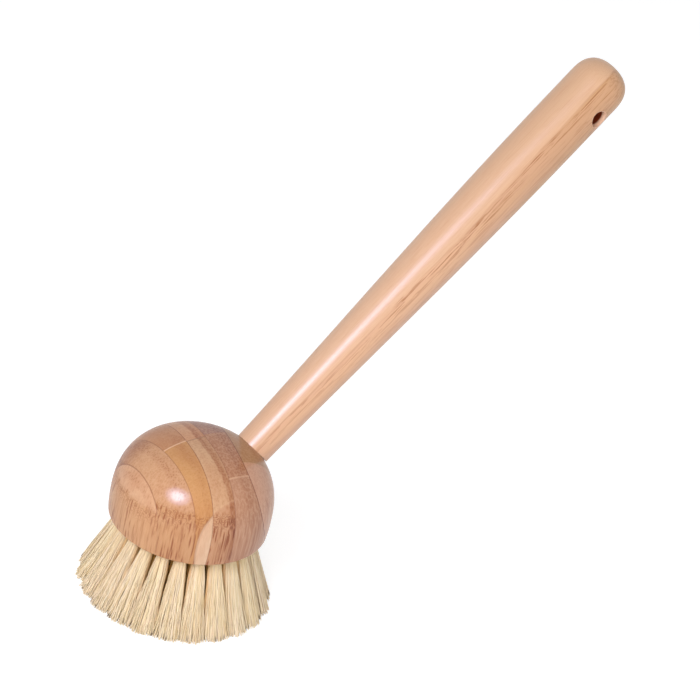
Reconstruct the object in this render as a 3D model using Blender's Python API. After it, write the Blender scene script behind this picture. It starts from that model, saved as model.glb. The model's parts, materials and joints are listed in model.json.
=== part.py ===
# Vegetable brush: a domed head glued up from bamboo boards, a turned bamboo handle set into it
# at a slant, and plant-fibre tufts driven into drilled holes in its flat underside.
# Metres, +Z up. The origin is the centre of the flat trim of the bristles; the handle leans to +X.

import math
import random

import bmesh
import bpy
from mathutils import Vector

# Head
HEAD_DIAMETER = 0.0600        # at its widest level
DOME_RISE = 0.0268            # widest level up to the apex
DOME_FULLNESS = 2.43          # profile exponent: 2 is an ellipse, more is fuller at the shoulder
FACE_DROP = 0.0075            # widest level down to the flat underside
FACE_INSET = 0.0004           # how far the side has drawn in where it meets the underside
RIM_EASE = 0.0005             # small broken edge round the underside

# Boards that the head is glued up from, split by glue planes along the grain, nearly upright
SEAM_SHARES = (-0.810, -0.465, -0.233, 0.015, 0.444)   # glue planes from the head's centre, of its radius
SEAM_LEAN = 2.0               # degrees, the glue planes' normal up from level
SEAM_TURN = -8.0              # degrees, the normal turned from +X
GLUE_GAP = 0.0003             # glue film between boards

# Handle
HANDLE_SLANT = 45.0           # degrees from the head's axis
HANDLE_SHIFT = 0.0045         # handle axis beside the head's centre, square to the handle
SEAT_DEPTH = 0.0009           # dome's surface down to the flat seat cut for the handle
HANDLE_LENGTH = 0.1943        # seat to tip
HANDLE_FOOT_DIAMETER = 0.0141
HANDLE_GRIP_DIAMETER = 0.0220
GRIP_START = 0.1680           # seat to where the full grip diameter is reached
HANDLE_SWELL = 1.2            # how late the handle swells between foot and grip
END_ROUND = 0.0110            # length of the rounded end
END_FULLNESS = 2.50           # exponent of the rounded end
TENON_DIAMETER = 0.0120
TENON_LENGTH = 0.0160
TENON_EASE = 0.0008           # broken edge at the tenon's end
HANG_HOLE_DIAMETER = 0.0070
HANG_HOLE_FROM_TIP = 0.0186
HANG_HOLE_TURN = 6.0          # degrees about the handle from +Y

# Bristles
BRISTLE_LENGTH = 0.0305       # underside down to the flat trim, along the head's axis
TUFT_HOLE_DIAMETER = 0.0044
TUFT_HOLE_DEPTH = 0.0070
FACE_BORDER_SHARE = 0.18      # wood left round the outer holes at the underside, of the head's radius
RING_NAMES = ("centre", "inner", "middle", "outer")
RING_COUNTS = (1, 7, 15, 22)
DRILL_FOCUS = 0.0600          # height over the underside of the point that all holes aim away from
STRANDS_ACROSS = 3            # strands in a tuft: this many rows of this many
STRAND_ROOT_GAP = 0.00022     # between strands where they leave the tuft's root
STRAND_TIP_SHARE = 0.85       # share of its cell that a strand fills at the trim
TUFT_TIP_GAP = 0.0006         # least space between neighbouring tufts at the trim
WANDER_SHARE = 0.25           # how much of that space a tuft's tip may wander
STRAND_WANDER_SHARE = 0.10    # how much of it a single strand may wander
WANDER_SEED = 11

FIT_GAP = 0.0003              # clearance between pieces that seat in one another

# Facets
HEAD_SEGMENTS = 48
DOME_STEPS = 11
SIDE_STEPS = 3
HANDLE_SEGMENTS = 32
SHAFT_STEPS = 9
END_STEPS = 7
TENON_SEGMENTS = 24
HANG_HOLE_SEGMENTS = 20
TUFT_SIDES = 4 * STRANDS_ACROSS

# Worked out from the above
HEAD_RADIUS = HEAD_DIAMETER / 2
FACE_RADIUS = HEAD_RADIUS - FACE_INSET
HEAD_CENTRE = Vector((0, 0, BRISTLE_LENGTH + FACE_DROP))
SLANT = math.radians(HANDLE_SLANT)
HANDLE_DIR = Vector((math.sin(SLANT), 0, math.cos(SLANT)))
HANDLE_SIDE = Vector((math.cos(SLANT), 0, -math.sin(SLANT)))
SEAM_OFFSETS = tuple(share * HEAD_RADIUS for share in SEAM_SHARES)
OUTER_RING_RADIUS = FACE_RADIUS - HEAD_RADIUS * FACE_BORDER_SHARE - TUFT_HOLE_DIAMETER / 2
RING_STEP = OUTER_RING_RADIUS / (len(RING_COUNTS) - 1)
TIP_SPREAD = 1 + BRISTLE_LENGTH / DRILL_FOCUS
OVERCUT = HEAD_DIAMETER       # cutters run this far past what they cut
REACH_ACCURACY = 1e-7         # how closely the dome's surface is found
MERGE_DISTANCE = 1e-6         # joins the points that a spin leaves doubled

# Colours are display colours from 0 to 1
BOARD_COLOURS = (
    (0.80, 0.62, 0.47),
    (0.82, 0.65, 0.50),
    (0.84, 0.66, 0.45),
    (0.81, 0.63, 0.49),
    (0.78, 0.61, 0.47),
    (0.80, 0.62, 0.50),
)
HANDLE_COLOUR = (0.88, 0.73, 0.59)
BRISTLE_COLOUR = (0.88, 0.80, 0.66)
LACQUER_ROUGHNESS = 0.35
FIBRE_ROUGHNESS = 0.85
SHARP_ANGLE = math.radians(35)


def dome_reach():
    """Distance along the handle's axis from beside the head's centre out to the dome's surface."""
    inside = 0.0
    outside = HEAD_DIAMETER
    while outside - inside > REACH_ACCURACY:
        middle = (inside + outside) / 2
        point = HANDLE_SIDE * HANDLE_SHIFT + HANDLE_DIR * middle
        across = (abs(point.x) / HEAD_RADIUS) ** DOME_FULLNESS
        up = (abs(point.z) / DOME_RISE) ** DOME_FULLNESS
        if across + up < 1:
            inside = middle
        else:
            outside = middle
    return inside


def seat_centre():
    reach = dome_reach() - SEAT_DEPTH
    return HEAD_CENTRE + HANDLE_SIDE * HANDLE_SHIFT + HANDLE_DIR * reach


def linear(value):
    """Display value to the linear value that a shader socket takes."""
    return value / 12.92 if value <= 0.04045 else ((value + 0.055) / 1.055) ** 2.4


def make_material(name, colour, roughness):
    material = bpy.data.materials.new(name)
    material.use_nodes = True
    shader = material.node_tree.nodes["Principled BSDF"]
    shader.inputs["Base Color"].default_value = [linear(c) for c in colour] + [1.0]
    shader.inputs["Roughness"].default_value = roughness
    shader.inputs["Metallic"].default_value = 0.0
    return material


def add_object(name, bm, material=None):
    """Turn a bmesh into a named object, shaded smooth with its real edges kept sharp."""
    mesh = bpy.data.meshes.new(name)
    bm.to_mesh(mesh)
    bm.free()
    mesh.shade_smooth()
    mesh.set_sharp_from_angle(angle=SHARP_ANGLE)
    if material:
        mesh.materials.append(material)
    obj = bpy.data.objects.new(name, mesh)
    bpy.context.collection.objects.link(obj)
    return obj


def as_cutter(obj):
    obj.hide_render = True
    obj.display_type = "WIRE"
    return obj


def cut(obj, tool, operation):
    modifier = obj.modifiers.new(tool.name, "BOOLEAN")
    modifier.operation = operation
    modifier.solver = "EXACT"
    modifier.object = tool


def turned(profile, segments):
    """Spin a profile of (radius, height) points, both ends on the axis, about Z."""
    bm = bmesh.new()
    verts = [bm.verts.new((radius, 0, height)) for radius, height in profile]
    edges = [bm.edges.new(pair) for pair in zip(verts, verts[1:])]
    bmesh.ops.spin(
        bm,
        geom=verts + edges,
        cent=(0, 0, 0),
        axis=(0, 0, 1),
        angle=math.tau,
        steps=segments,
        use_merge=True,
    )
    bmesh.ops.remove_doubles(bm, verts=bm.verts, dist=MERGE_DISTANCE)
    bmesh.ops.recalc_face_normals(bm, faces=bm.faces)
    return bm


def superellipse(width, height, fullness, steps):
    """Quarter outline from (width, 0) to (0, height)."""
    points = []
    for step in range(steps + 1):
        angle = math.pi / 2 * step / steps
        across = math.cos(angle) ** (2 / fullness) if step < steps else 0.0
        up = math.sin(angle) ** (2 / fullness)
        points.append((width * across, height * up))
    return points


def head_profile():
    """Dome, slightly drawn-in side, broken edge and flat underside, from the centre's level."""
    drop = FACE_DROP - RIM_EASE
    side = []
    for step in range(1, SIDE_STEPS + 1):
        share = step / SIDE_STEPS
        side.append((HEAD_RADIUS - FACE_INSET * share ** 2, -drop * share))
    dome = superellipse(HEAD_RADIUS, DOME_RISE, DOME_FULLNESS, DOME_STEPS)
    return dome[::-1] + side + [(FACE_RADIUS - RIM_EASE, -FACE_DROP), (0, -FACE_DROP)]


def handle_radius(along):
    """Foot radius at the seat, swelling late and gently to the grip."""
    share = min(along / GRIP_START, 1.0)
    rise = math.sin(math.pi / 2 * share ** HANDLE_SWELL)
    return (HANDLE_FOOT_DIAMETER + (HANDLE_GRIP_DIAMETER - HANDLE_FOOT_DIAMETER) * rise) / 2


def handle_profile():
    """Tenon below the seat, shaft and rounded end above it."""
    tenon = TENON_DIAMETER / 2
    foot = [
        (0, -TENON_LENGTH),
        (tenon - TENON_EASE, -TENON_LENGTH),
        (tenon, -TENON_LENGTH + TENON_EASE),
        (tenon, 0),
    ]
    round_start = HANDLE_LENGTH - END_ROUND
    shaft = []
    for step in range(SHAFT_STEPS):
        along = round_start * step / SHAFT_STEPS
        shaft.append((handle_radius(along), along))
    end = superellipse(handle_radius(round_start), END_ROUND, END_FULLNESS, END_STEPS)
    return foot + shaft + [(radius, round_start + height) for radius, height in end]


def cylinder(radius, low, high, segments):
    """Closed cylinder about Z between two heights."""
    bm = bmesh.new()
    bmesh.ops.create_cone(
        bm,
        cap_ends=True,
        segments=segments,
        radius1=radius,
        radius2=radius,
        depth=high - low,
    )
    bmesh.ops.translate(bm, verts=bm.verts, vec=(0, 0, (high + low) / 2))
    return bm


def make_handle():
    wood = make_material("handle_bamboo", HANDLE_COLOUR, LACQUER_ROUGHNESS)
    handle = add_object("handle", turned(handle_profile(), HANDLE_SEGMENTS), wood)
    handle.location = seat_centre() + HANDLE_DIR * FIT_GAP
    handle.rotation_euler = (0, SLANT, 0)
    reach = HANDLE_GRIP_DIAMETER
    bore = cylinder(HANG_HOLE_DIAMETER / 2, -reach, reach, HANG_HOLE_SEGMENTS)
    hang_hole = as_cutter(add_object("hang_hole_cutter", bore))
    hang_hole.parent = handle
    hang_hole.location = (0, 0, HANDLE_LENGTH - HANG_HOLE_FROM_TIP)
    hang_hole.rotation_euler = (math.pi / 2, 0, math.radians(HANG_HOLE_TURN))
    cut(handle, hang_hole, "DIFFERENCE")


def make_seat_cutter():
    """Flat seat for the handle's shoulder, with the socket for its tenon below."""
    socket_radius = TENON_DIAMETER / 2 + FIT_GAP
    seat_radius = HANDLE_FOOT_DIAMETER / 2 + FIT_GAP
    socket_depth = TENON_LENGTH  # the handle stands a gap off its seat, which clears the tenon's end
    profile = [
        (0, OVERCUT),
        (seat_radius, OVERCUT),
        (seat_radius, 0),
        (socket_radius, 0),
        (socket_radius, -socket_depth),
        (0, -socket_depth),
    ]
    cutter = as_cutter(add_object("handle_seat_cutter", turned(profile, TENON_SEGMENTS)))
    cutter.location = seat_centre()
    cutter.rotation_euler = (0, SLANT, 0)
    return cutter


def tuft_places():
    """Name, ring radius and angle of every tuft, from the centre outwards.

    Every other ring is turned by half a place.
    """
    for ring, (ring_name, count) in enumerate(zip(RING_NAMES, RING_COUNTS)):
        half_turned = ring % 2 == 0
        for index in range(count):
            name = "bristle_tuft_" + ring_name
            if count > 1:
                name += f"_{index + 1:02d}"
            place = index + 0.5 if half_turned else index
            yield name, ring * RING_STEP, math.tau * place / count


def tuft_lean(radius):
    """Angle that a tuft's hole leans outwards, at its ring."""
    return math.atan2(radius, DRILL_FOCUS)


def make_hole_cutter():
    """All tuft holes as one set of cylinders, each along its own tuft."""
    all_holes = bmesh.new()
    for _, radius, angle in tuft_places():
        hole = cylinder(
            TUFT_HOLE_DIAMETER / 2, -TUFT_HOLE_DIAMETER, TUFT_HOLE_DEPTH, TUFT_SIDES
        )
        mesh = bpy.data.meshes.new("tuft_hole")
        hole.to_mesh(mesh)
        hole.free()
        guide = bpy.data.objects.new("tuft_hole", mesh)
        guide.location = (
            radius * math.cos(angle),
            radius * math.sin(angle),
            BRISTLE_LENGTH,
        )
        guide.rotation_euler = (0, -tuft_lean(radius), angle)
        mesh.transform(guide.matrix_basis)
        all_holes.from_mesh(mesh)
        bpy.data.objects.remove(guide)
        bpy.data.meshes.remove(mesh)
    return as_cutter(add_object("tuft_holes_cutter", all_holes))


def make_slab(index, low, high):
    """Slab between two glue planes, for cutting one board out of the head."""
    bm = bmesh.new()
    bmesh.ops.create_cube(bm, size=1)
    bmesh.ops.scale(bm, verts=bm.verts, vec=(high - low, 2 * OVERCUT, 2 * OVERCUT))
    bmesh.ops.translate(bm, verts=bm.verts, vec=((high + low) / 2, 0, 0))
    slab = as_cutter(add_object(f"board_slab_{index}", bm))
    slab.location = HEAD_CENTRE
    slab.rotation_euler = (0, -math.radians(SEAM_LEAN), math.radians(SEAM_TURN))
    return slab


def make_head(hole_cutter, seat_cutter):
    """One object for each board, all cut from the same turned dome."""
    limits = (-OVERCUT,) + SEAM_OFFSETS + (OVERCUT,)
    for index, colour in enumerate(BOARD_COLOURS):
        number = index + 1
        wood = make_material(f"board_{number}_bamboo", colour, LACQUER_ROUGHNESS)
        blank = turned(head_profile(), HEAD_SEGMENTS)
        board = add_object(f"head_board_{number}", blank, wood)
        board.location = HEAD_CENTRE
        low = limits[index] + GLUE_GAP / 2
        high = limits[index + 1] - GLUE_GAP / 2
        cut(board, make_slab(number, low, high), "INTERSECT")
        cut(board, hole_cutter, "DIFFERENCE")
        cut(board, seat_cutter, "DIFFERENCE")


def tip_radius():
    """Half the width that a tuft may take at the trim, beside its nearest neighbour."""
    spacings = [RING_STEP * TIP_SPREAD]
    for ring, count in enumerate(RING_COUNTS):
        if count > 1:
            ring_radius = ring * RING_STEP * TIP_SPREAD
            spacings.append(2 * ring_radius * math.sin(math.pi / count))
    return (min(spacings) - TUFT_TIP_GAP) / 2


def to_disc(x, y):
    """Map a square of half width 1 onto a disc of radius 1."""
    return Vector((x * math.sqrt(1 - y * y / 2), y * math.sqrt(1 - x * x / 2)))


def make_tuft(name, radius, angle, fibre, rng):
    """A root that fills its drilled hole, and square strands that fan from it to the flat trim.

    It is modelled on the +X side, leaning outwards, and turned about Z to its place.
    """
    root_radius = TUFT_HOLE_DIAMETER / 2 - FIT_GAP
    lean = tuft_lean(radius)
    out = Vector((math.cos(lean), 0, math.sin(lean)))
    side = Vector((0, 1, 0))
    inwards = Vector((-math.sin(lean), 0, math.cos(lean)))
    root = Vector((radius, 0, BRISTLE_LENGTH))

    bm = bmesh.new()
    bmesh.ops.create_grid(
        bm, x_segments=STRANDS_ACROSS, y_segments=STRANDS_ACROSS, size=1
    )
    for vert in bm.verts:
        flat = to_disc(vert.co.x, vert.co.y)
        vert.co = root + (out * flat.x + side * flat.y) * root_radius
    cells = list(bm.faces)
    rim = [edge for edge in bm.edges if edge.is_boundary]
    raised = bmesh.ops.extrude_edge_only(bm, edges=rim)["geom"]
    top_verts = [item for item in raised if isinstance(item, bmesh.types.BMVert)]
    top_edges = [
        item
        for item in raised
        if isinstance(item, bmesh.types.BMEdge) and item.is_boundary
    ]
    bmesh.ops.translate(bm, verts=top_verts, vec=inwards * (TUFT_HOLE_DEPTH - FIT_GAP))
    bmesh.ops.contextual_create(bm, geom=top_edges)
    bmesh.ops.inset_individual(bm, faces=cells, thickness=STRAND_ROOT_GAP / 2)
    strands = bmesh.ops.extrude_discrete_faces(bm, faces=cells)["faces"]

    reach = tip_radius()
    wander = TUFT_TIP_GAP * WANDER_SHARE
    strand_wander = TUFT_TIP_GAP * STRAND_WANDER_SHARE
    tuft_tip = Vector((radius * TIP_SPREAD, 0, 0))
    tuft_tip += Vector((rng.uniform(-wander, wander), rng.uniform(-wander, wander), 0))
    for face in strands:
        shift = Vector(
            (
                rng.uniform(-strand_wander, strand_wander),
                rng.uniform(-strand_wander, strand_wander),
                0,
            )
        )
        middle = face.calc_center_median() - root
        middle_flat = Vector((middle.dot(out), middle.dot(side)))
        for vert in face.verts:
            offset = vert.co - root
            flat = Vector((offset.dot(out), offset.dot(side)))
            flat = middle_flat + (flat - middle_flat) * STRAND_TIP_SHARE
            flat *= reach / root_radius
            vert.co = tuft_tip + shift + Vector((flat.x, flat.y, 0))
    bmesh.ops.recalc_face_normals(bm, faces=bm.faces)

    tuft = add_object(name, bm, fibre)
    tuft.rotation_euler = (0, 0, angle)


def make_bristles():
    fibre = make_material("plant_fibre", BRISTLE_COLOUR, FIBRE_ROUGHNESS)
    rng = random.Random(WANDER_SEED)
    for name, radius, angle in tuft_places():
        make_tuft(name, radius, angle, fibre, rng)


def main():
    for obj in list(bpy.data.objects):
        bpy.data.objects.remove(obj, do_unlink=True)
    make_handle()
    make_head(make_hole_cutter(), make_seat_cutter())
    make_bristles()


main()
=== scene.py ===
import json
import math

import bmesh
import bpy
from mathutils import Matrix, Vector


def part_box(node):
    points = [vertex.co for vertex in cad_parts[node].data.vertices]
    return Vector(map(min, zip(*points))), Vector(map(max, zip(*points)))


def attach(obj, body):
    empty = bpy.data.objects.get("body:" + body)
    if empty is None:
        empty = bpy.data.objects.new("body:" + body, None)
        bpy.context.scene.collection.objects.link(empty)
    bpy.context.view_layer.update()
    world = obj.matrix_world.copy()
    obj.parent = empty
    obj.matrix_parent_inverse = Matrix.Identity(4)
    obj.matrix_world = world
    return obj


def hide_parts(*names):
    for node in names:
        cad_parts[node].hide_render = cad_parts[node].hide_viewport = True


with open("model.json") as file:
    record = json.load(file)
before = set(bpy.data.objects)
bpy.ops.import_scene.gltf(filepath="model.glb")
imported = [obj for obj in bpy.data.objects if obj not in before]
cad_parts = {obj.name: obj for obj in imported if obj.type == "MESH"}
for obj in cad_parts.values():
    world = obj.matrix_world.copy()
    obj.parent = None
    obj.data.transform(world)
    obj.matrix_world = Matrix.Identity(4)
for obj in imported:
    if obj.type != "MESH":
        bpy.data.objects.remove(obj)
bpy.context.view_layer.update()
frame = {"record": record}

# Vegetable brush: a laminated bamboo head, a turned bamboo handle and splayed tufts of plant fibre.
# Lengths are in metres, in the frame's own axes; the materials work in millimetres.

mm = 0.001
goldenAngle = math.pi * (3 - math.sqrt(5))
boardNames = ["head_board_%d" % number for number in range(1, 7)]


def srgb(red, green, blue):  # display values from 0 to 255, to the linear colour that a socket takes
    channels = []
    for value in (red / 255, green / 255, blue / 255):
        channels.append(value / 12.92 if value <= 0.04045 else ((value + 0.055) / 1.055) ** 2.4)
    return (*channels, 1.0)


def boxOf(names):  # lowest and highest corner of several nodes together
    corners = [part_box(name) for name in names]
    low = Vector(min(corner[0][axis] for corner in corners) for axis in range(3))
    high = Vector(max(corner[1][axis] for corner in corners) for axis in range(3))
    return low, high


def heading(turn, rise):  # unit vector, from degrees about Z and degrees over level
    turn = math.radians(turn)
    rise = math.radians(rise)
    return Vector((math.cos(turn) * math.cos(rise), math.sin(turn) * math.cos(rise), math.sin(rise)))


class Wire:  # a socket that takes part in ordinary arithmetic
    def __init__(self, tree, socket):
        self.tree = tree
        self.socket = socket

    def out(self, name):  # another output of the same node
        return Wire(self.tree, self.socket.node.outputs[name])

    def __add__(self, other):
        return self.tree.maths("ADD", self, other)

    def __sub__(self, other):
        return self.tree.maths("SUBTRACT", self, other)

    def __rsub__(self, other):
        return self.tree.maths("SUBTRACT", other, self)

    def __mul__(self, other):
        return self.tree.maths("MULTIPLY", self, other)

    def __truediv__(self, other):
        return self.tree.maths("DIVIDE", self, other)

    def __rtruediv__(self, other):
        return self.tree.maths("DIVIDE", other, self)

    def __pow__(self, other):
        return self.tree.maths("POWER", self, other)

    def __mod__(self, other):
        return self.tree.maths("MODULO", self, other)

    def __abs__(self):
        return self.tree.maths("ABSOLUTE", self)

    __radd__ = __add__
    __rmul__ = __mul__


class Tree:  # builds the nodes of a material or of a geometry tree
    def __init__(self, nodeTree):
        self.nodeTree = nodeTree

    def make(self, kind, settings=None, inputs=None, output=0):
        node = self.nodeTree.nodes.new(kind)
        for name, value in (settings or {}).items():
            if name == "stops":
                self.setStops(node.color_ramp, value)
            else:
                setattr(node, name, value)
        for key, value in (inputs or {}).items():
            if isinstance(value, Wire):
                self.nodeTree.links.new(value.socket, node.inputs[key])
            else:
                node.inputs[key].default_value = value
        if len(node.outputs):  # a tree's last node has none
            return Wire(self, node.outputs[output])

    def setStops(self, ramp, stops):
        while len(ramp.elements) < len(stops):
            ramp.elements.new(0.5)
        for element, (place, colour) in zip(ramp.elements, stops):
            element.position = place
            element.color = colour

    def maths(self, operation, first, second=0.0):
        return self.make("ShaderNodeMath", {"operation": operation}, {0: first, 1: second})

    def least(self, first, second):
        return self.maths("MINIMUM", first, second)

    def most(self, first, second):
        return self.maths("MAXIMUM", first, second)

    def rise(self, value, low, high):  # 0 at low and 1 at high, which may be the lower one; smooth between
        if low > high:
            return 1 - self.rise(value, high, low)
        settings = {"interpolation_type": "SMOOTHSTEP"}
        return self.make("ShaderNodeMapRange", settings, {"Value": value, 1: low, 2: high})

    def blend(self, share, first, second):  # colours
        return self.make(
            "ShaderNodeMix",
            {"data_type": "RGBA", "clamp_factor": True},
            {0: share, 6: first, 7: second},
            2,
        )

    def tint(self, share, colour, by):  # multiplies a colour, by the share
        return self.make(
            "ShaderNodeMix",
            {"data_type": "RGBA", "blend_type": "MULTIPLY"},
            {0: share, 6: colour, 7: by},
            2,
        )

    def stretch(self, vector, factors):
        return self.make("ShaderNodeVectorMath", {"operation": "MULTIPLY"}, {0: vector, 1: factors})

    def shift(self, vector, by):
        return self.make("ShaderNodeVectorMath", {"operation": "ADD"}, {0: vector, 1: by})

    def dot(self, vector, other):
        return self.make("ShaderNodeVectorMath", {"operation": "DOT_PRODUCT"}, {0: vector, 1: other}, 1)

    def point(self, x=0.0, y=0.0, z=0.0):
        return self.make("ShaderNodeCombineXYZ", None, {0: x, 1: y, 2: z})

    def attribute(self, name):
        return self.make("ShaderNodeAttribute", {"attribute_name": name}).out("Fac")

    def noise(self, vector, factors, detail, roughness=0.5):  # finer along an axis with a larger factor
        vector = self.stretch(vector, factors)
        inputs = {"Vector": vector, "Scale": 1.0, "Detail": detail, "Roughness": roughness}
        return self.make("ShaderNodeTexNoise", None, inputs)

    def cells(self, vector, factors):
        inputs = {"Vector": self.stretch(vector, factors), "Scale": 1.0}
        return self.make("ShaderNodeTexVoronoi", None, inputs)

    def bumps(self, height, strength):
        inputs = {"Strength": strength, "Distance": 0.1 * mm, "Height": height}
        return self.make("ShaderNodeBump", None, inputs)


def newMaterial(name):
    material = bpy.data.materials.new(name)
    material.use_nodes = True
    material.node_tree.nodes.clear()
    return material, Tree(material.node_tree)


def finishMaterial(tree, settings, inputs):  # a Principled shader with its fixed values, then what varies
    shader = tree.make("ShaderNodeBsdfPrincipled", None, {**settings, **inputs})
    tree.make("ShaderNodeOutputMaterial", None, {"Surface": shader})


def inMillimetres(tree, centre):  # where a point of the surface lies from this centre
    inputs = {
        "Vector": tree.make("ShaderNodeTexCoord").out("Object"),
        "Location": -centre / mm,
        "Scale": (1 / mm, 1 / mm, 1 / mm),
    }
    return tree.make("ShaderNodeMapping", None, inputs)


def finishWood(tree, wood, inputs):  # the same under a clear coat
    settings = {
        "Coat Weight": wood["coat"],
        "Coat Roughness": wood["coatRoughness"],
        "Coat IOR": wood["coatIor"],
        "Specular IOR Level": 0.1,
    }
    finishMaterial(tree, settings, inputs)


def addMesh(name, mesh, materials=()):
    for material in materials:
        mesh.materials.append(material)
    piece = bpy.data.objects.new(name, mesh)
    bpy.context.scene.collection.objects.link(piece)
    return piece


def smoothMesh(mesh, sharpAngle=35.0):
    mesh.shade_smooth()
    mesh.set_sharp_from_angle(angle=math.radians(sharpAngle))


def evaluated(piece):  # the piece's mesh with its modifiers applied
    depsgraph = bpy.context.evaluated_depsgraph_get()
    return bpy.data.meshes.new_from_object(piece.evaluated_get(depsgraph), depsgraph=depsgraph)


def newGeometryTree(name, sizes):  # a tree whose named inputs take these values
    nodeTree = bpy.data.node_groups.new(name, "GeometryNodeTree")
    nodeTree.interface.new_socket("Geometry", in_out="OUTPUT", socket_type="NodeSocketGeometry")
    for label, value in sizes.items():
        kind = "NodeSocketInt" if isinstance(value, int) else "NodeSocketFloat"
        socket = nodeTree.interface.new_socket(label, in_out="INPUT", socket_type=kind)
        socket.default_value = value
    tree = Tree(nodeTree)
    given = tree.make("NodeGroupInput")
    return tree, {label: given.out(label) for label in sizes}


def finishGeometryTree(tree, geometry, material):
    whole = tree.make("GeometryNodeRealizeInstances", None, {"Geometry": geometry})
    dressed = tree.make("GeometryNodeSetMaterial", None, {"Geometry": whole, "Material": material})
    tree.make("NodeGroupOutput", None, {"Geometry": dressed})


def grown(name, tree, sizes):  # one mesh from a geometry tree with these values
    holder = bpy.data.objects.new(name + "Holder", bpy.data.meshes.new(name + "Holder"))
    bpy.context.scene.collection.objects.link(holder)
    modifier = holder.modifiers.new(name, "NODES")
    modifier.node_group = tree.nodeTree
    for item in tree.nodeTree.interface.items_tree:
        if item.in_out == "INPUT" and item.name in sizes:
            modifier[item.identifier] = sizes[item.name]
    mesh = evaluated(holder)
    mesh.name = name
    bpy.data.objects.remove(holder)
    return mesh


# The head

head = {
    "domeFullness": 2.43,        # profile exponent: 2 is an ellipse, more is fuller at the shoulder
    "faceDrop": 7.5 * mm,        # widest level down to the underside
    "faceInset": 0.4 * mm,       # how far the side has drawn in there
    "rimEase": 0.7 * mm,         # rounded edge round the underside
    "segments": 192,
    "domeSteps": 60,
    "sideSteps": 8,
    "rimSteps": 5,
}
headLow, headHigh = boxOf(boardNames)
headRadius = (headHigh.y - headLow.y) / 2
underside = headLow.z
headCentre = Vector((0, 0, underside + head["faceDrop"]))
domeRise = headHigh.z - headCentre.z

tufts = {
    "ringNames": ("centre", "inner", "middle", "outer"),
    "ringCounts": (1, 7, 15, 22),
    "holeDiameter": 4.4 * mm,
    "holeDepth": 7.0 * mm,
    "border": 5.4 * mm,          # wood left outside the outer holes
    "drillFocus": 60.0 * mm,     # height over the underside of the point that all holes aim away from
    "drillSides": 32,
}
outerRing = headRadius - head["faceInset"] - tufts["border"] - tufts["holeDiameter"] / 2
ringStep = outerRing / (len(tufts["ringCounts"]) - 1)

# The handle's axis runs through the hang hole that the record's mount gives.
handle = {
    "slant": 45.0,               # degrees from the head's axis
    "length": 194.3 * mm,        # seat to tip
    "footDiameter": 14.1 * mm,
    "gripDiameter": 22.0 * mm,
    "gripStart": 168.0 * mm,     # seat to where the full grip is reached
    "swell": 1.2,                # how late the handle swells
    "endRound": 11.0 * mm,
    "endFullness": 2.5,
    "tenonDiameter": 12.0 * mm,
    "tenonLength": 16.0 * mm,
    "holeDiameter": 7.0 * mm,
    "holeFromTip": 18.6 * mm,
    "holeTurn": 6.0,             # degrees about the handle from square to its slant
    "rings": 260,
    "sides": 128,
    "fitGap": 0.3 * mm,          # under the foot, for glue
    "socketPlay": 0.05 * mm,     # all round, in the seat and the socket
    "socketSides": 96,
    "boreSides": 64,
}
handleSlant = math.radians(handle["slant"])
handleDirection = Vector((math.sin(handleSlant), 0, math.cos(handleSlant)))
holeMount = next(mount for mount in frame["record"]["mounts"] if mount["name"] == "hang_hole")
hangHole = Vector(holeMount["pos_m"])
handleFoot = hangHole - handleDirection * (handle["length"] - handle["holeFromTip"])
handleTurn = Matrix.Rotation(handleSlant, 4, "Y")

# Glue planes as the photo shows them on the dome: their distance from the head's centre, and the lean and
# turn of the normal in degrees.
gluePlanes = (
    {"offset": -24.6 * mm, "lean": 2.0, "turn": -5.5},
    {"offset": -15.9 * mm, "lean": 0.0, "turn": -3.0},
    {"offset": -6.6 * mm, "lean": 0.0, "turn": -10.5},
    {"offset": 2.5 * mm, "lean": 2.0, "turn": -10.5},
    {"offset": 19.4 * mm, "lean": 21.0, "turn": -16.0},
)


def planeNormal(plane):
    return heading(plane["turn"], plane["lean"])


def domeOutline():  # radius and height of the turned profile, from the apex to the underside's centre
    points = []
    for step in range(head["domeSteps"] + 1):
        angle = math.pi / 2 * (1 - step / head["domeSteps"])
        across = math.cos(angle) ** (2 / head["domeFullness"]) if step else 0.0
        up = math.sin(angle) ** (2 / head["domeFullness"])
        points.append((headRadius * across, domeRise * up))
    drop = head["faceDrop"] - head["rimEase"]
    for step in range(1, head["sideSteps"] + 1):
        share = step / head["sideSteps"]
        points.append((headRadius - head["faceInset"] * share ** 2, -drop * share))
    rimCentre = headRadius - head["faceInset"] - head["rimEase"]
    for step in range(1, head["rimSteps"] + 1):
        angle = math.pi / 2 * step / head["rimSteps"]
        across = head["rimEase"] * math.cos(angle)
        points.append((rimCentre + across, -drop - head["rimEase"] * math.sin(angle)))
    points.append((0.0, -head["faceDrop"]))
    return points


def turnedMesh(name, outline, segments):
    bm = bmesh.new()
    verts = [bm.verts.new((radius, 0, height)) for radius, height in outline]
    edges = [bm.edges.new(pair) for pair in zip(verts, verts[1:])]
    bmesh.ops.spin(
        bm,
        geom=verts + edges,
        cent=(0, 0, 0),
        axis=(0, 0, 1),
        angle=math.tau,
        steps=segments,
        use_merge=True,
    )
    bmesh.ops.remove_doubles(bm, verts=bm.verts, dist=0.001 * mm)
    bmesh.ops.recalc_face_normals(bm, faces=bm.faces)
    mesh = bpy.data.meshes.new(name)
    bm.to_mesh(mesh)
    bm.free()
    return mesh


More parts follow.
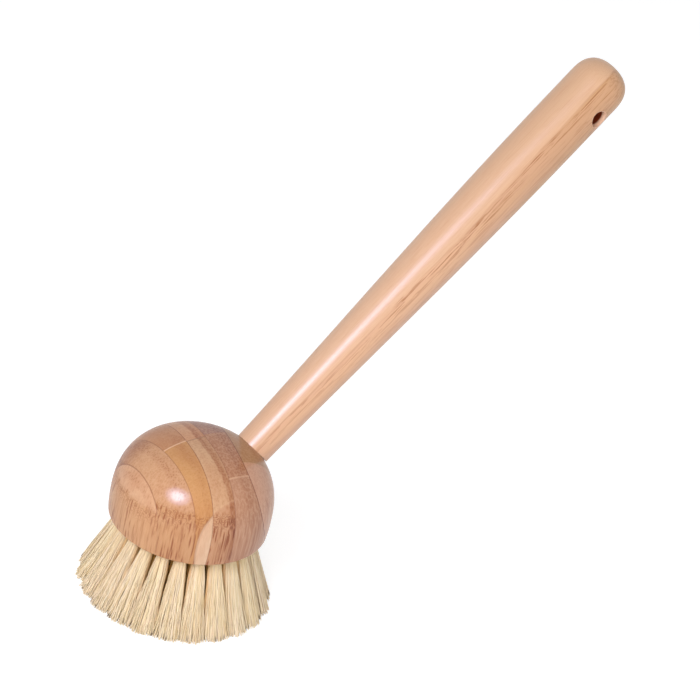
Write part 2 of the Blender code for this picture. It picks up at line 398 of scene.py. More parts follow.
def drillingTree():  # one ring of slanting drilled holes, as the cylinders that cut them
    tree, given = newGeometryTree(
        "drilledRing",
        {
            "Count": 1,
            "Ring Radius": 0.0,
            "Ring Shift": 0.0,
            "Drill Focus": tufts["drillFocus"],
            "Hole Diameter": tufts["holeDiameter"],
            "Hole Depth": tufts["holeDepth"],
        },
    )
    points = tree.make("GeometryNodePoints", None, {"Count": given["Count"]})
    index = tree.make("GeometryNodeInputIndex")
    angle = (index + given["Ring Shift"]) / given["Count"] * math.tau
    place = tree.point(
        tree.maths("COSINE", angle) * given["Ring Radius"],
        tree.maths("SINE", angle) * given["Ring Radius"],
    )
    placed = tree.make("GeometryNodeSetPosition", None, {"Geometry": points, "Position": place})
    focus = tree.point(z=given["Drill Focus"])
    aim = tree.make("ShaderNodeVectorMath", {"operation": "SUBTRACT"}, {0: focus, 1: place})
    rotation = tree.make("FunctionNodeAlignRotationToVector", {"axis": "Z"}, {"Vector": aim})
    drill = tree.make(
        "GeometryNodeMeshCylinder", None,
        {
            "Vertices": tufts["drillSides"],
            "Radius": given["Hole Diameter"] / 2,
            "Depth": given["Hole Depth"] * 2,  # half of it stands out of the underside
        },
    )
    drills = tree.make(
        "GeometryNodeInstanceOnPoints", None,
        {"Points": placed, "Instance": drill, "Rotation": rotation},
    )
    finishGeometryTree(tree, drills, None)
    return tree


def ringShift(ring):  # every other ring is turned by half a step
    return 0.5 if ring % 2 == 0 else 0.0


def tuftPlaces():  # ring name, number, ring radius and angle of every tuft
    for ring, (ringName, count) in enumerate(zip(tufts["ringNames"], tufts["ringCounts"])):
        for index in range(count):
            yield ringName, index + 1, ring * ringStep, math.tau * (index + ringShift(ring)) / count


def cutWith(piece, tools, operation):  # applies a Boolean for each tool, and removes the tools
    for tool in tools:
        modifier = piece.modifiers.new(tool.name, "BOOLEAN")
        modifier.operation = operation
        modifier.solver = "EXACT"
        modifier.object = tool
    mesh = evaluated(piece)
    piece.modifiers.clear()
    piece.data = mesh
    for tool in tools:
        bpy.data.objects.remove(tool)


def drilledDome():
    dome = addMesh("domeBlank", turnedMesh("domeBlank", domeOutline(), head["segments"]))
    dome.data.transform(Matrix.Translation(headCentre))
    tree = drillingTree()
    tools = []
    for ring, count in enumerate(tufts["ringCounts"]):
        drills = grown(
            "drills%d" % ring, tree,
            {
                "Count": count,
                "Ring Radius": ring * ringStep,
                "Ring Shift": ringShift(ring),
            },
        )
        drills.transform(Matrix.Translation((0, 0, underside)))
        tools.append(addMesh("drills%d" % ring, drills))
    seatRadius = handle["footDiameter"] / 2 + handle["socketPlay"]
    socketRadius = handle["tenonDiameter"] / 2 + handle["socketPlay"]
    top = headRadius  # well clear of the dome
    bottom = -handle["tenonLength"]
    outline = [
        (0, top),
        (seatRadius, top),
        (seatRadius, 0),
        (socketRadius, 0),
        (socketRadius, bottom),
        (0, bottom),
    ]
    seat = turnedMesh("seatCutter", outline, handle["socketSides"])
    seat.transform(Matrix.Translation(handleFoot - handleDirection * handle["fitGap"]) @ handleTurn)
    tools.append(addMesh("seatCutter", seat))
    cutWith(dome, tools, "DIFFERENCE")
    return dome


def slabBetween(lower, upper):  # closed wedge between two glue planes; None is past the end of the head
    far = 2 * headRadius
    pastEnd = 8 * headRadius
    corners = []
    for plane, distance in ((lower, -pastEnd), (upper, pastEnd)):
        for across, up in ((-far, -far), (far, -far), (far, far), (-far, far)):
            if plane:
                normal = planeNormal(plane)
                distance = (plane["offset"] - normal.y * across - normal.z * up) / normal.x
            corners.append(headCentre + Vector((distance, across, up)))
    bm = bmesh.new()
    verts = [bm.verts.new(corner) for corner in corners]
    bm.faces.new(verts[:4])
    bm.faces.new(verts[4:])
    for index in range(4):
        after = (index + 1) % 4
        bm.faces.new((verts[index], verts[after], verts[4 + after], verts[4 + index]))
    bmesh.ops.recalc_face_normals(bm, faces=bm.faces)
    mesh = bpy.data.meshes.new("boardSlab")
    bm.to_mesh(mesh)
    bm.free()
    return addMesh("boardSlab", mesh)


# Bamboo of the head. Each board is a slat of bamboo: pale on one side and darker, with denser bundles of
# fibres, on the other, and made of lengths that meet at cross joints.
headWood = {
    "lineWidth": 0.22,           # mm, of the glue lines
    "bundleSpacing": 0.8,        # mm between the bundles of fibres, which stand upright in the boards
    "roughness": 0.5,
    "coat": 0.42,
    "coatIor": 2.0,
    "coatRoughness": 0.14,
    "pale": srgb(226, 184, 146),  # the two kinds of line at a cross joint
    "dark": srgb(140, 94, 62),
}
# The boards in their order along X, and lower and upper mean along X too. Each length of a slat has its tone
# and the strength of its marks, and the next one begins at a joint: where that is along Y, in mm from the
# head's centre, how softly the tone changes there, and the strength and kind of its line. Shade darkens the
# upper side of a slat, and tilt narrows that side towards the low end of Y. Dots are over streakTop, which is
# in mm over the head's centre, and streaks under it. Lines are the strengths of the lower and the upper glue
# line. Fade weakens them among the streaks and yellows the wood there, and grainShift moves the grain.
boards = (
    {
        "tones": [srgb(213, 167, 128)],
        "marks": [1.0],
        "joints": [],
        "shade": 0.2, "dots": 0.45, "streaks": 0.85, "streakTop": 9.5, "tilt": 0.0,
        "lines": (0.0, 0.6), "fade": 0.85, "grainShift": 3.1,
    },
    {
        "tones": [srgb(201, 152, 110), srgb(176, 122, 82)],
        "marks": [1.0, 1.0],
        "joints": [{"at": 11.0, "soft": 4.0, "line": 0.0, "glue": "pale"}],
        "shade": 0.2, "dots": 0.55, "streaks": 1.0, "streakTop": 12.8, "tilt": 0.0,
        "lines": (0.6, 0.5), "fade": 0.7, "grainShift": 17.4,
    },
    {
        "tones": [srgb(218, 184, 154), srgb(197, 143, 86), srgb(188, 132, 88)],
        "marks": [0.1, 1.0, 1.0],
        "joints": [
            {"at": -25.2, "soft": 0.12, "line": 0.3, "glue": "dark"},
            {"at": 2.9, "soft": 0.12, "line": 0.75, "glue": "pale"},
        ],
        "shade": 0.12, "dots": 0.3, "streaks": 0.8, "streakTop": 12.8, "tilt": 0.0,
        "lines": (0.5, 0.75), "fade": 0.3, "grainShift": 31.9,
    },
    {
        "tones": [srgb(190, 140, 101), srgb(200, 156, 116), srgb(202, 149, 108)],
        "marks": [1.4, 1.0, 1.0],
        "joints": [
            {"at": -25.0, "soft": 0.12, "line": 0.1, "glue": "pale"},
            {"at": 2.4, "soft": 0.12, "line": 0.6, "glue": "dark"},
        ],
        "shade": 0.9, "dots": 0.55, "streaks": 1.0, "streakTop": 12.8, "tilt": 0.009,
        "lines": (0.75, 0.5), "fade": 0.2, "grainShift": 47.2,
    },
    {
        "tones": [srgb(180, 131, 99), srgb(173, 119, 84), srgb(158, 108, 87)],
        "marks": [0.5, 1.0, 1.0],
        "joints": [
            {"at": -19.0, "soft": 0.12, "line": 0.32, "glue": "pale"},
            {"at": 3.5, "soft": 0.3, "line": 0.0, "glue": "pale"},
        ],
        "shade": 0.3, "dots": 0.75, "streaks": 0.5, "streakTop": 12.8, "tilt": 0.0,
        "lines": (0.5, 0.95), "fade": 0.0, "grainShift": 61.8,
    },
    {
        "tones": [srgb(195, 148, 120), srgb(172, 128, 90)],
        "marks": [1.0, 1.0],
        "joints": [{"at": -13.9, "soft": 0.5, "line": 0.1, "glue": "pale"}],
        "shade": 0.15, "dots": 0.5, "streaks": 0.4, "streakTop": 12.8, "tilt": 0.0,
        "lines": (0.95, 0.0), "fade": 0.0, "grainShift": 78.5,
    },
)


def boardMaterial(number, board, lower, upper):
    material, tree = newMaterial("headBamboo%d" % number)
    place = inMillimetres(tree, headCentre)
    apart = tree.make("ShaderNodeSeparateXYZ", None, {0: place})
    along = apart.out(1)
    height = apart.out(2)
    grain = tree.shift(place, (board["grainShift"], board["grainShift"] / 3, 0))
    wobble = tree.noise(grain, (0.35, 0.35, 0.12), 2.0) - 0.5

    # distance to the glue plane on either side
    if lower:
        fromLower = tree.dot(place, planeNormal(lower)) - lower["offset"] / mm
    else:
        fromLower = apart.out(0) + headRadius / mm
    if upper:
        toUpper = upper["offset"] / mm - tree.dot(place, planeNormal(upper))
    else:
        toUpper = headRadius / mm - apart.out(0)
    depth = fromLower / (fromLower + toUpper)

    # lengths of slat that meet at the cross joints
    colour = board["tones"][0]
    marked = board["marks"][0]
    crossLines = []
    for joint, tone, marks in zip(board["joints"], board["tones"][1:], board["marks"][1:]):
        past = tree.rise(along, joint["at"] - joint["soft"], joint["at"] + joint["soft"])
        colour = tree.blend(past, colour, tone)
        marked = past * marks + (1 - past) * marked
        line = 1 - tree.rise(abs(along - joint["at"]), 0.15, 0.4)
        crossLines.append((line * joint["line"], headWood[joint["glue"]]))

    # broad changes of tone, and the darker outer side of the slat
    broad = tree.noise(grain, (0.16, 0.07, 0.05), 3.0)
    colour = tree.tint(tree.rise(broad, 0.35, 0.75) * 0.5, colour, srgb(232, 205, 180))
    across = depth + wobble * 0.25 - tree.most(along * -1, 0) * board["tilt"]
    outer = tree.rise(across, 0.48, 0.6) * (1 - tree.rise(across, 0.72, 0.9) * 0.5)
    colour = tree.tint(outer * board["shade"], colour, srgb(214, 184, 160))

    # bundles of fibres: dots where the dome is level, long streaks down its side
    swerve = tree.point(wobble * 1.2, wobble * 1.2)
    spacing = headWood["bundleSpacing"]
    bundles = tree.cells(tree.shift(grain, swerve), (1 / spacing, 1 / spacing, 0.07))
    away = bundles.out("Distance")
    density = tree.rise(bundles.out("Color"), 0.0, 0.5)
    top = board["streakTop"]
    low = tree.rise(height + wobble * 4, top + 1.5, top - 1.0)
    dot = tree.rise(away, 0.42, 0.18) * (outer * 0.5 + 0.5) * board["dots"]
    patches = tree.rise(tree.noise(grain, (0.22, 0.22, 0.12), 2.0), 0.35, 0.6) * 0.6 + 0.4
    streak = tree.rise(away, 0.55, 0.25) * density * patches * board["streaks"]

    # curls of grain where the dots turn into streaks
    contours = tree.noise(grain, (0.3, 0.3, 0.36), 1.0) * 8 % 1
    curl = 1 - tree.rise(abs(contours - 0.5), 0.06, 0.24)
    turning = low * tree.rise(height + wobble * 4, top - 8, top - 2) * board["streaks"] * 0.6
    mark = tree.most(dot * (1 - low) * 0.7 + streak * low, curl * turning) * marked
    colour = tree.tint(mark, colour, srgb(192, 147, 104))
    pale = tree.rise(away, 0.5, 0.75)
    colour = tree.blend(pale * 0.2 * board["dots"], colour, srgb(228, 192, 156))

    # fine fibres everywhere
    fibres = tree.noise(grain, (3.2, 3.2, 0.25), 3.0, 0.6)
    colour = tree.tint(tree.rise(fibres, 0.35, 0.7) * 0.3, colour, srgb(225, 200, 178))

    # glue lines
    width = headWood["lineWidth"]
    nearLower = 1 - tree.rise(fromLower, width * 0.4, width)
    nearUpper = 1 - tree.rise(toUpper, width * 0.4, width)
    patchy = tree.rise(tree.noise(grain, (0.6, 0.6, 0.6), 2.0), 0.2, 0.5) * 0.7 + 0.3
    glue = tree.most(nearLower * board["lines"][0], nearUpper * board["lines"][1]) * patchy
    glue = glue * (1 - low * board["fade"])
    colour = tree.tint(glue, colour, srgb(180, 146, 122))
    colour = tree.tint(low * board["fade"], colour, srgb(240, 230, 206))
    for line, tone in crossLines:
        colour = tree.blend(line, colour, tone)

    bumps = tree.bumps(fibres - mark * 0.6 - glue, 0.12)
    rough = headWood["roughness"] + mark * 0.1
    finishWood(tree, headWood, {"Base Color": colour, "Roughness": rough, "Normal": bumps})
    return material


def makeHead():
    dome = drilledDome()
    planes = [None, *gluePlanes, None]
    for number, (board, lower, upper) in enumerate(zip(boards, planes, planes[1:]), 1):
        piece = addMesh("headBoard%d" % number, dome.data.copy())
        cutWith(piece, [slabBetween(lower, upper)], "INTERSECT")
        smoothMesh(piece.data)
        piece.data.materials.clear()
        piece.data.materials.append(boardMaterial(number, board, lower, upper))
        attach(piece, "root")
        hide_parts("head_board_%d" % number)
    bpy.data.objects.remove(dome)
    print("head: %d boards cut from one turned dome" % len(boards))


makeHead()


# The handle

handleWood = {
    "foot": srgb(216, 175, 142),         # the slat on the upper side, near the head
    "tip": srgb(211, 169, 132),          # and near the tip
    "streakyFoot": srgb(214, 168, 131),  # the slat with coarse fibres on the lower side
    "streakyTip": srgb(196, 149, 103),
    "rose": srgb(206, 160, 132),
    "fibre": srgb(160, 104, 62),
    "splitDirection": (0.618, -0.786),   # across the handle: along its slant side, and along Y
    "splitOffset": 1.4,                  # mm from the axis to where the streaky slat begins
    "boreLipPaintedLight": srgb(246, 204, 172),      # painted light on the wall just inside the hang hole
    "boreDeepPaintedShade": srgb(118, 48, 20),       # and painted shade deeper in it
    "boreShade": (9.2, 8.4),             # mm from the handle's middle, between which the painted shade sets in
    "roughness": 0.5,
    "coat": 0.5,
    "coatIor": 2.0,
    "coatRoughness": 0.27,
}


def handleMaterial():
    material, tree = newMaterial("handleBamboo")
    fromFoot = inMillimetres(tree, handleFoot)
    place = tree.make("ShaderNodeMapping", None, {"Vector": fromFoot, "Rotation": (0, -handleSlant, 0)})
    apart = tree.make("ShaderNodeSeparateXYZ", None, {0: place})
    along = apart.out(2)
    side, across = handleWood["splitDirection"]
    drift = tree.noise(place, (0.04, 0.04, 0.012), 2.0) - 0.5
    fromSplit = apart.out(0) * side + apart.out(1) * across + drift * 6 - handleWood["splitOffset"]
    streakySide = tree.rise(fromSplit, -0.3, 0.5)

    broad = tree.noise(place, (0.12, 0.12, 0.012), 3.0)
    base = tree.blend(tree.rise(along, 60, 185), handleWood["foot"], handleWood["tip"])
    smooth = tree.blend(tree.rise(broad, 0.3, 0.75) * 0.45, base, srgb(217, 170, 134))
    slat = tree.blend(tree.rise(along, 90, 160), handleWood["streakyFoot"], handleWood["streakyTip"])
    rosy = tree.rise(broad, 0.35, 0.7) * (0.7 - tree.rise(along, 110, 170) * 0.35)
    streaky = tree.blend(rosy, slat, handleWood["rose"])

    # long thin fibres, wavy on the coarse side
    wave = tree.noise(place, (0.25, 0.25, 0.05), 2.0) - 0.5
    bent = tree.shift(place, tree.point(wave * 1.6, wave * 1.6))
    coarse = tree.noise(bent, (1.5, 1.5, 0.045), 3.0, 0.6)
    streak = tree.rise(coarse, 0.46, 0.64) * (tree.rise(along, 30, 120) * 0.5 + 0.5)
    streak = streak * (1 - tree.rise(along, 180, 188) * 0.5)
    seam = tree.rise(fromSplit, 4.5, 1.0) * 0.7 + 0.3
    seam = tree.most(seam, tree.rise(along, 140, 185) * 0.8)
    streaky = tree.blend(streak * seam, streaky, handleWood["fibre"])
    fine = tree.noise(place, (4.0, 4.0, 0.08), 3.0, 0.6)
    smooth = tree.tint(tree.rise(fine, 0.4, 0.75) * 0.3, smooth, srgb(226, 196, 168))
    colour = tree.blend(streakySide, smooth, streaky)
    edge = 1 - tree.rise(abs(fromSplit), 0.05, 0.5)
    worn = tree.rise(tree.noise(place, (0.3, 0.3, 0.03), 2.0), 0.4, 0.65)
    colour = tree.blend(edge * worn * 0.3, colour, handleWood["fibre"])

    # painted light on the hang hole's lips, and painted shade deeper inside it
    holeTurn = math.radians(handle["holeTurn"])
    beside = apart.out(0) * math.cos(holeTurn) + apart.out(1) * math.sin(holeTurn)
    beyond = along - (handle["length"] - handle["holeFromTip"]) / mm
    fromBore = (beside * beside + beyond * beyond) ** 0.5
    inward = abs(apart.out(0) * math.sin(holeTurn) - apart.out(1) * math.cos(holeTurn))
    boreRadius = handle["holeDiameter"] / 2 / mm
    inBore = tree.rise(fromBore, boreRadius + 0.12, boreRadius + 0.02)
    colour = tree.blend(inBore, colour, handleWood["boreLipPaintedLight"])
    colour = tree.blend(inBore * tree.rise(inward, *handleWood["boreShade"]), colour, handleWood["boreDeepPaintedShade"])

    bumps = tree.bumps(coarse + fine * 0.5, 0.06)
    rough = handleWood["roughness"] + streak * streakySide * 0.08
    finishWood(tree, handleWood, {"Base Color": colour, "Roughness": rough, "Normal": bumps})
    return material


def handleTree(material):  # a turned rod whose radius follows the swell and the rounded end
    tree, given = newGeometryTree(
        "turnedHandle",
        {
            "Length": handle["length"],
            "Foot Radius": handle["footDiameter"] / 2,
            "Grip Radius": handle["gripDiameter"] / 2,
            "Grip Start": handle["gripStart"],
            "Swell": handle["swell"],
            "End Round": handle["endRound"],
            "End Fullness": handle["endFullness"],
            "Tenon Radius": handle["tenonDiameter"] / 2,
            "Tenon Length": handle["tenonLength"],
            "Hole Radius": handle["holeDiameter"] / 2,
            "Hole From Tip": handle["holeFromTip"],
            "Hole Turn": math.radians(handle["holeTurn"]),
        },
    )
    line = tree.make("GeometryNodeCurvePrimitiveLine", None, {"Start": (0, 0, 0), "End": (0, 0, 1)})
    line = tree.make("GeometryNodeResampleCurve", None, {"Curve": line, "Count": handle["rings"]})
    share = tree.make("GeometryNodeSplineParameter").out("Factor")
    crowded = given["Length"] * (1 - (1 - share) ** 2)  # rings crowd towards the rounded end
    placed = tree.make("GeometryNodeSetPosition", None, {"Geometry": line, "Position": tree.point(z=crowded)})
    height = tree.make("ShaderNodeSeparateXYZ", None, {0: tree.make("GeometryNodeInputPosition")}).out("Z")
    swelling = tree.least(height / given["Grip Start"], 1.0) ** given["Swell"]
    swollen = tree.maths("SINE", swelling * (math.pi / 2))
    radius = given["Foot Radius"] + (given["Grip Radius"] - given["Foot Radius"]) * swollen
    intoEnd = tree.most((height - given["Length"] + given["End Round"]) / given["End Round"], 0.0)
    ending = tree.most(1 - intoEnd ** given["End Fullness"], 0.0) ** (1 / given["End Fullness"])
    ring = tree.make("GeometryNodeCurvePrimitiveCircle", None, {"Resolution": handle["sides"], "Radius": 1.0})
    body = tree.make(
        "GeometryNodeCurveToMesh", None,
        {"Curve": placed, "Profile Curve": ring, "Scale": radius * ending, "Fill Caps": True},
    )
    body = tree.make("GeometryNodeMergeByDistance", None, {"Geometry": body, "Distance": 0.002 * mm})

    overlap = 1 * mm  # the tenon starts this far inside the foot, so that the two fuse
    tenon = tree.make(
        "GeometryNodeMeshCylinder", None,
        {
            "Vertices": handle["socketSides"],
            "Radius": given["Tenon Radius"],
            "Depth": given["Tenon Length"] + overlap,
        },
    )
    tenonPlace = tree.point(z=(overlap - given["Tenon Length"]) / 2)
    tenon = tree.make("GeometryNodeTransform", None, {"Geometry": tenon, "Translation": tenonPlace})
    body = tree.make("GeometryNodeMeshBoolean", {"operation": "UNION", "solver": "EXACT"}, {"Mesh 2": body})
    tree.nodeTree.links.new(tenon.socket, body.socket.node.inputs["Mesh 2"])

    bore = tree.make(
        "GeometryNodeMeshCylinder", None,
        {"Vertices": handle["boreSides"], "Radius": given["Hole Radius"], "Depth": given["Grip Radius"] * 4},
    )
    borePlace = tree.point(z=given["Length"] - given["Hole From Tip"])
    boreTurn = tree.point(x=math.pi / 2, z=given["Hole Turn"])
    bore = tree.make(
        "GeometryNodeTransform", None,
        {"Geometry": bore, "Translation": borePlace, "Rotation": boreTurn},
    )
    drilled = tree.make(
        "GeometryNodeMeshBoolean", {"operation": "DIFFERENCE", "solver": "EXACT"},
        {"Mesh 1": body, "Mesh 2": bore},
    )
    finishGeometryTree(tree, drilled, material)
    return tree


def makeHandle():
    material = handleMaterial()
    mesh = grown("handle", handleTree(material), {})
    mesh.transform(Matrix.Translation(handleFoot) @ handleTurn)
    smoothMesh(mesh)
    piece = addMesh("turnedHandle", mesh)
    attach(piece, "root")
    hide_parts("handle")
    print("handle: %d faces" % len(mesh.polygons))


makeHandle()


# The bristles

bristles = {
    "fibres": 150,               # in a tuft of the inner rings
    "outerFibres": 360,          # in a tuft of the outer ring, which is the one that shows
    "thickness": 0.33 * mm,
    "rootRadius": 1.78 * mm,
    "tipDepth": 3.0 * mm,        # half the size of a tuft at the trim, towards the head's axis
    "innerTipDepth": 4.2 * mm,   # the same on the inner rings, which fill the space between
    "inwardShare": 0.5,          # how much deeper a tuft is on the side of the axis
    "tipWidth": 4.85 * mm,       # and towards its neighbours, which it meets there
    "sink": 4.0 * mm,            # how far the fibres reach up into their hole
    "steps": 6,                  # points along a fibre
    "spread": 0.36,              # under 0.5 sets more fibres near the tuft's outside
    "ragged": 1.8 * mm,          # how unevenly the trim is cut
    "wander": 0.5 * mm,          # how far a tip strays
    "bend": 0.3 * mm,
    "clump": 14,                 # neighbouring fibres that stray together
    "clumpWander": 0.35 * mm,
    "tuftWander": 0.8 * mm,      # how far a whole tuft leans to one side
    "flareStart": 1.0,           # exponent: how late the tuft opens out
    "innerFlare": 0.62,          # how much sooner its fibres on the inside do, which shade the gaps
}


def fibreMaterial():
    material, tree = newMaterial("plantFibre")
    reach = tree.attribute("fibreReach")
    colour = tree.make(
        "ShaderNodeValToRGB",
        {
            "stops": [
                (0.0, srgb(213, 184, 137)),
                (0.2, srgb(226, 203, 160)),
                (0.6, srgb(236, 219, 182)),
                (1.0, srgb(246, 236, 211)),
            ]
        },
        {0: tree.attribute("fibreTone")},
    )
    colour = tree.blend(tree.rise(reach, 0.45, 0.1) * 0.4, colour, srgb(238, 208, 156))
    rosy = tree.rise(tree.attribute("fibreHue"), 0.3, 0.8)
    colour = tree.blend(rosy * 0.55, colour, srgb(238, 218, 196))
    # painted shade: amber on fibres that face the head's axis, and on tufts behind others towards their roots
    inner = tree.attribute("fibreInner")
    colour = tree.blend(inner, colour, srgb(244, 188, 104))
    darkTip = tree.rise(reach, 0.93, 0.98) * tree.rise(tree.attribute("fibreSpeck"), 0.9, 0.93)
    colour = tree.blend(darkTip * 0.8, colour, srgb(92, 74, 66))
    finishMaterial(tree, {"Specular IOR Level": 0.05, "Roughness": 0.7}, {"Base Color": colour})
    return material


def tuftTree(material):  # one tuft: fibres that leave a drilled hole, open out and end at an uneven trim
    tree, given = newGeometryTree(
        "fibreTuft",
        {
            "Fibres": bristles["fibres"],
            "Ring Radius": 0.0,
            "Place Angle": 0.0,
            "Outward Lean": 0.0,
            "Underside": underside,
            "Root Radius": bristles["rootRadius"],
            "Tip Depth": bristles["tipDepth"],
            "Tip Width": bristles["tipWidth"],
            "Sink": bristles["sink"],
            "Thickness": bristles["thickness"],
            "Ragged": bristles["ragged"],
            "Wander": bristles["wander"],
            "Bend": bristles["bend"],
            "Shaded": 0.0,           # 1 for a tuft that stands behind others, which gets painted shade
            "Seed": 1,
        },
    )
    steps = bristles["steps"]
    index = tree.make("GeometryNodeInputIndex")
    fibre = tree.maths("FLOOR", (index + 0.5) / steps)
    reach = (index - fibre * steps) / (steps - 1)

    def chance(low, high, layer, owner=fibre):  # one number for each fibre, clump or other owner
        seed = given["Seed"] * 16 + layer
        inputs = {2: low, 3: high, "ID": owner, "Seed": seed}
        return tree.make("FunctionNodeRandomValue", {"data_type": "FLOAT"}, inputs, 1)

    share = (fibre + 0.5) / given["Fibres"]
    out = share ** bristles["spread"]
    turn = fibre * goldenAngle + chance(-0.35, 0.35, 1)
    unitX = tree.maths("COSINE", turn) * out
    unitY = tree.maths("SINE", turn) * out

    cutOff = chance(0.0, 1.0, 2) ** 2 * given["Ragged"]
    drop = reach * (given["Underside"] + given["Sink"] - cutOff) - given["Sink"]
    below = tree.most(drop, 0.0) / given["Underside"]  # 0 at the underside and 1 at the trim
    inward = tree.most(unitX * -1, 0.0)
    opening = below ** (bristles["flareStart"] - inward * bristles["innerFlare"])
    tipDepth = given["Tip Depth"] * (inward * bristles["inwardShare"] + 1)
    depth = given["Root Radius"] + (tipDepth - given["Root Radius"]) * opening
    width = given["Root Radius"] + (given["Tip Width"] - given["Root Radius"]) * opening
    bow = tree.maths("SINE", below * math.pi) * given["Bend"]
    stray = below ** 2
    clump = tree.maths("FLOOR", (fibre + 0.5) / bristles["clump"])
    apartX = chance(-1.0, 1.0, 3) * given["Wander"] + chance(-1.0, 1.0, 11, clump) * bristles["clumpWander"]
    apartY = chance(-1.0, 1.0, 5) * given["Wander"] + chance(-1.0, 1.0, 12, clump) * bristles["clumpWander"]
    strayX = apartX * stray + chance(-1.0, 1.0, 4) * bow
    lean = chance(-1.0, 1.0, 15, 0) * bristles["tuftWander"] * below
    strayY = apartY * stray + chance(-1.0, 1.0, 6) * bow + lean
    place = tree.point(
        given["Ring Radius"] + unitX * depth + strayX + drop * given["Outward Lean"],
        unitY * width + strayY,
        given["Underside"] - drop,
    )
    # painted shade in amber: on the side of a tuft that faces the head's axis, fading at the tips, and
    # towards the root of a tuft that stands behind others
    paintedShadeFacingIn = (unitX * -0.7 + 0.2) * tree.rise(reach, 0.95, 0.7)
    behind = given["Shaded"] * tree.rise(reach, 0.85, 0.5)
    points = tree.make("GeometryNodePoints", None, {"Count": given["Fibres"] * steps, "Position": place})
    for label, value in (
        ("fibreTone", chance(0.0, 1.0, 7) * 0.55 + chance(0.0, 0.2, 13, clump) + chance(0.0, 0.25, 14, 0)),
        ("fibreSpeck", chance(0.0, 1.0, 8)),
        ("fibreReach", reach),
        ("fibreHue", chance(0.0, 0.6, 16, clump) + chance(0.0, 0.4, 17, 0)),
        ("fibreInner", tree.most(paintedShadeFacingIn, behind)),
    ):
        points = tree.make(
            "GeometryNodeStoreNamedAttribute", {"data_type": "FLOAT", "domain": "POINT"},
            {"Geometry": points, "Name": label, "Value": value},
        )
    strands = tree.make("GeometryNodePointsToCurves", None, {"Points": points, 1: fibre, 2: reach})
    thick = chance(0.7, 1.25, 9)
    outline = tree.make("GeometryNodeCurvePrimitiveCircle", None, {"Resolution": 4, "Radius": 1.0})
    body = tree.make(
        "GeometryNodeCurveToMesh", None,
        {
            "Curve": strands,
            "Profile Curve": outline,
            "Scale": thick * given["Thickness"] / 2,
            "Fill Caps": True,
        },
    )
    turn = tree.point(z=given["Place Angle"])
    turned = tree.make("GeometryNodeTransform", None, {"Geometry": body, "Rotation": turn})
    finishGeometryTree(tree, turned, material)
    return tree


def makeBristles():
    tree = tuftTree(fibreMaterial())
    for made, (ringName, number, radius, angle) in enumerate(tuftPlaces(), 1):
        outer = ringName == "outer"
        node = "bristle_tuft_" + ringName
        name = "bristleTuft" + ringName.capitalize()
        if ringName != "centre":
            node += "_%02d" % number
            name += "%02d" % number
        mesh = grown(
            name, tree,
            {
                "Ring Radius": radius,
                "Place Angle": angle,
                "Outward Lean": radius / tufts["drillFocus"],
                "Tip Depth": bristles["tipDepth"] if outer else bristles["innerTipDepth"],
                "Fibres": bristles["outerFibres"] if outer else bristles["fibres"],
                "Shaded": 0.0 if outer else 1.0,
                "Seed": made,
            },
        )
        mesh.shade_smooth()
        piece = addMesh(name, mesh)
        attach(piece, "root")
        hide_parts(node)
    print("bristles: %d tufts" % made)


makeBristles()


# Floor, light and camera

studio = {
    "floorSize": 1.8,            # past its edge the white of the world is seen
    "floorPaper": srgb(232, 232, 232),       # for the light that bounces off it
    "floorGlow": 0.73,           # for the camera: a glow,
    "floorShadow": (0.5, 0.5, 0.5, 1.0),     # and a grey that takes the shadow
    "keyDistance": 1.05,
    "keyTowards": (-0.715, -0.303, 0.63),    # from the head, as its highlight shows
    "keySize": 0.34,
    "keyPower": 3.5,
    "haloSize": 0.62,            # a weaker, larger disc just behind the key
    "haloBehind": 0.02,
    "haloPower": 3.4,
    "haloTint": (0.93, 0.85, 1.0),
    # the same two as the coat mirrors them, cooler than the light on the wood
    "keyGlare": {"power": 2.9, "tint": (0.66, 0.84, 1.0)},
    "haloGlare": {"power": 4.6, "tint": (0.5, 0.56, 1.0)},
    "fillPower": 4.4,
    "fillSize": 1.2,
    "fillPlace": (0.35, -1.2, 0.5),
    "frontPower": 4.2,
    "frontSize": 0.3,
    "frontDistance": 1.5,        # from the head, on the camera's side of it
    "frontElevation": 22.0,      # degrees
    "world": 0.38,
}
camera = {
    "elevation": 30.45,          # degrees
    "azimuth": -134.76,          # degrees, where the camera stands round the brush
    "roll": 13.3,                # degrees
    "distance": 1.4,
    "viewWidth": 0.25576,        # what the frame spans at that distance
    "aimRight": 0.05796,         # frame's centre from the head's centre, to the right in the picture
    "aimUp": 0.05538,
}


def whiteBehind(tree):  # 1 for rays from the camera, mirrors and glass, which see white
    path = tree.make("ShaderNodeLightPath")
    mirrored = tree.most(path.out("Is Glossy Ray"), path.out("Is Transmission Ray"))
    return tree.most(path.out("Is Camera Ray"), mirrored)


def makeFloor():
    half = studio["floorSize"] / 2
    corners = [(-half, -half, 0), (half, -half, 0), (half, half, 0), (-half, half, 0)]
    mesh = bpy.data.meshes.new("studioFloor")
    mesh.from_pydata(corners, [], [(0, 1, 2, 3)])
    material, tree = newMaterial("floorPaper")
    seen = whiteBehind(tree)
    paper = tree.make("ShaderNodeBsdfDiffuse", None, {"Color": studio["floorPaper"]})
    glow = tree.make("ShaderNodeEmission", None, {"Color": (1, 1, 1, 1), "Strength": studio["floorGlow"]})
    shadowed = tree.make("ShaderNodeBsdfDiffuse", None, {"Color": studio["floorShadow"]})
    both = tree.make("ShaderNodeAddShader", None, {0: glow, 1: shadowed})
    mixed = tree.make("ShaderNodeMixShader", None, {0: seen, 1: paper, 2: both})
    tree.make("ShaderNodeOutputMaterial", None, {"Surface": mixed})
    floor = addMesh("studioFloor", mesh, [material])


def makeWorld():
    world = bpy.data.worlds.new("studioWorld")
    bpy.context.scene.world = world
    world.use_nodes = True
    world.node_tree.nodes.clear()
    tree = Tree(world.node_tree)
    seen = whiteBehind(tree)
    strength = seen + (1 - seen) * studio["world"]
    light = tree.make("ShaderNodeBackground", None, {"Color": (1, 1, 1, 1), "Strength": strength})
    tree.make("ShaderNodeOutputWorld", None, {"Surface": light})


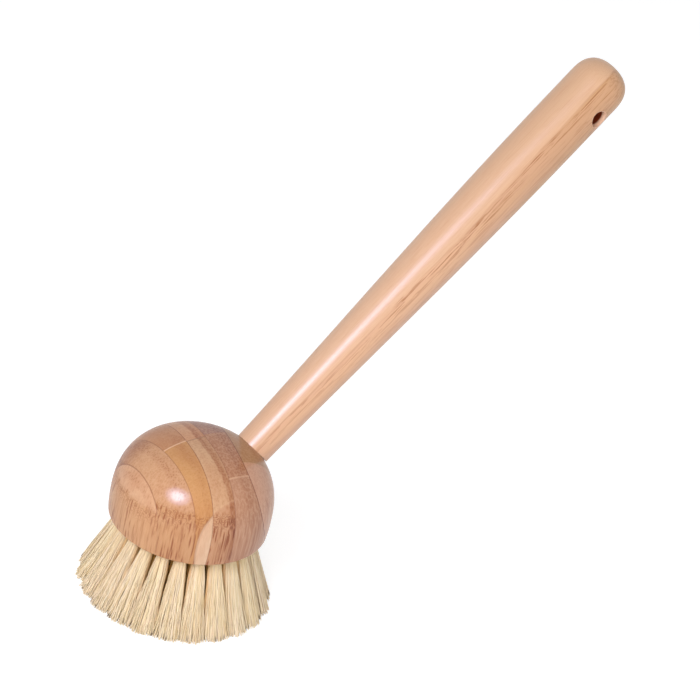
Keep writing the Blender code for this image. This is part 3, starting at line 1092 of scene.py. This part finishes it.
def addLamp(name, place, size, power, tint=(1, 1, 1), part="diffuse"):  # a disc that aims at the head
    lamp = bpy.data.lights.new(name, "AREA")
    lamp.color = tint
    lamp.shape = "DISK"
    lamp.size = size
    lamp.energy = power
    lamp.cycles.use_multiple_importance_sampling = part == "glare"
    holder = bpy.data.objects.new(name, lamp)
    holder.location = place
    holder.rotation_euler = (headCentre - place).to_track_quat("-Z", "Y").to_euler()
    holder.visible_glossy = part == "glare"
    holder.visible_diffuse = part == "diffuse"
    bpy.context.scene.collection.objects.link(holder)


def makeLamps():
    keyTowards = Vector(studio["keyTowards"]).normalized()
    keyPlace = headCentre + keyTowards * studio["keyDistance"]
    haloPlace = keyPlace + keyTowards * studio["haloBehind"]
    addLamp("keyLight", keyPlace, studio["keySize"], studio["keyPower"])
    addLamp("haloLight", haloPlace, studio["haloSize"], studio["haloPower"], studio["haloTint"])
    for name, place in (("key", keyPlace), ("halo", haloPlace)):
        glare = studio[name + "Glare"]
        addLamp(name + "Glare", place, studio[name + "Size"], glare["power"], glare["tint"], "glare")
    addLamp("fillLight", Vector(studio["fillPlace"]), studio["fillSize"], studio["fillPower"])
    frontTowards = heading(camera["azimuth"], studio["frontElevation"])
    frontPlace = headCentre + frontTowards * studio["frontDistance"]
    addLamp("frontLight", frontPlace, studio["frontSize"], studio["frontPower"])


def makeCamera():
    roll = math.radians(camera["roll"])
    back = heading(camera["azimuth"], camera["elevation"])
    levelRight = Vector((0, 0, 1)).cross(back).normalized()
    levelUp = back.cross(levelRight)
    right = levelRight * math.cos(roll) + levelUp * math.sin(roll)
    up = levelUp * math.cos(roll) - levelRight * math.sin(roll)
    aim = headCentre + right * camera["aimRight"] + up * camera["aimUp"]
    lens = bpy.data.cameras.new("photoCamera")
    lens.sensor_fit = "HORIZONTAL"
    lens.angle = 2 * math.atan(camera["viewWidth"] / 2 / camera["distance"])
    lens.clip_start = 0.05
    lens.clip_end = 50
    holder = bpy.data.objects.new("photoCamera", lens)
    turn = Matrix((right, up, back)).transposed().to_4x4()
    holder.matrix_world = Matrix.Translation(aim + back * camera["distance"]) @ turn
    bpy.context.scene.collection.objects.link(holder)
    bpy.context.scene.camera = holder


makeFloor()
makeWorld()
makeLamps()
makeCamera()
bpy.context.scene.view_settings.view_transform = "Standard"
print("studio: floor, world, lamps and camera")
